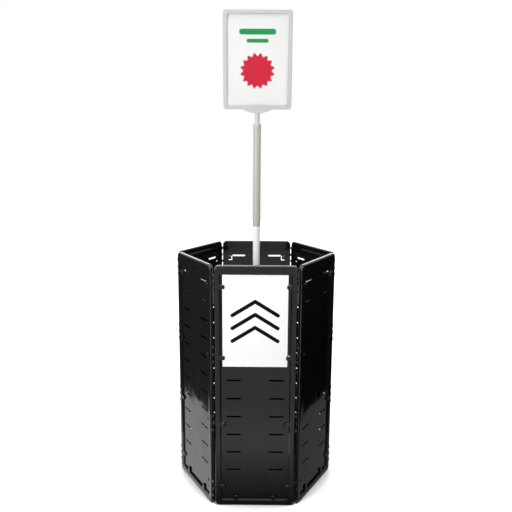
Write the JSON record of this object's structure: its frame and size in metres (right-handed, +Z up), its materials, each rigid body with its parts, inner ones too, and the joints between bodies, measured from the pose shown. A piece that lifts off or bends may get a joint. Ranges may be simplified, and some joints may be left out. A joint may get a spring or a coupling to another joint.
{
  "type": "retail dump bin",
  "caption": "Free-standing hexagonal dump bin of slotted black panels hinged at the corners, with a raised floor and a telescopic centre pole carrying a swivelling sheet frame.",
  "frame": {"origin": "on the ground at the centre of the six-sided plan, on the pole's axis", "axes": "+Z up along the pole, -Y out of the front panel that carries the sheet, +X to the right when facing the front"},
  "size_m": [0.5488, 0.4806, 1.603],
  "materials": {
    "black_plastic": "moulded glossy black plastic",
    "floor_plastic": "moulded satin black plastic",
    "black_rod": "blackened steel wire",
    "screw_steel": "bright zinc-plated steel",
    "white_tube": "white powder coat",
    "coated_tube": "warm grey powder coat",
    "plug_plastic": "plain nylon",
    "grey_plastic": "pale grey moulded plastic",
    "clear_film": "clear film",
    "white_card": "coated white card"
  },
  "bodies": {
    "base": {"panel_front": "black_plastic", "hinge_rod_front": "black_rod", "floor_shelf": "floor_plastic", "pole_socket": "floor_plastic", "socket_screw_1": "screw_steel", "socket_screw_2": "screw_steel", "socket_screw_3": "screw_steel", "socket_screw_4": "screw_steel", "pole_lower_tube": "white_tube", "pole_friction_plug": "plug_plastic", "poster_front": "white_card"},
    "front_right": {"panel_front_right": "black_plastic", "hinge_rod_front_right": "black_rod"},
    "back_right": {"panel_back_right": "black_plastic", "hinge_rod_back_right": "black_rod"},
    "back": {"panel_back": "black_plastic", "hinge_rod_back": "black_rod"},
    "front_left": {"panel_front_left": "black_plastic", "hinge_rod_front_left": "black_rod"},
    "back_left": {"panel_back_left": "black_plastic", "hinge_rod_back_left": "black_rod"},
    "pole_upper": {"pole_upper_tube": "coated_tube", "pole_top_bush": "grey_plastic"},
    "sign_head": {"sign_foot": "grey_plastic", "sign_frame": "grey_plastic"},
    "sign_insert": {"sign_cover": "clear_film", "sign_card": "white_card"}
  },
  "joints": [
    {"name": "fold_front_right", "type": "hinge", "parent": "base", "child": "front_right", "pos_m": [0.13501, -0.23384, 0.4], "axis": [0, 0, -1], "range_deg": [0, 60]},
    {"name": "fold_back_right", "type": "hinge", "parent": "front_right", "child": "back_right", "pos_m": [0.27001, 0, 0.4], "axis": [0, 0, -1], "range_deg": [0, 60]},
    {"name": "fold_back", "type": "hinge", "parent": "back_right", "child": "back", "pos_m": [0.13501, 0.23384, 0.4], "axis": [0, 0, -1], "range_deg": [0, 60]},
    {"name": "fold_front_left", "type": "hinge", "parent": "base", "child": "front_left", "pos_m": [-0.13501, -0.23384, 0.4], "axis": [0, 0, 1], "range_deg": [0, 60]},
    {"name": "fold_back_left", "type": "hinge", "parent": "front_left", "child": "back_left", "pos_m": [-0.27001, 0, 0.4], "axis": [0, 0, 1], "range_deg": [0, 60]},
    {"name": "pole_slide", "type": "slide", "parent": "base", "child": "pole_upper", "axis": [0, 0, 1], "range_m": [-0.15, 0.1]},
    {"name": "sign_swivel", "type": "hinge", "parent": "pole_upper", "child": "sign_head", "pos_m": [0, 0, 1.25], "axis": [0, 0, 1], "continuous": true},
    {"name": "sheet_slide", "type": "slide", "parent": "sign_head", "child": "sign_insert", "axis": [0, 0, 1], "range_m": [0, 0.295]}
  ],
  "couplings": [
    {"joint": "fold_back_right", "follows": "fold_front_right", "ratio": 1},
    {"joint": "fold_back", "follows": "fold_front_right", "ratio": 1},
    {"joint": "fold_front_left", "follows": "fold_front_right", "ratio": 1},
    {"joint": "fold_back_left", "follows": "fold_front_right", "ratio": 1}
  ]
}
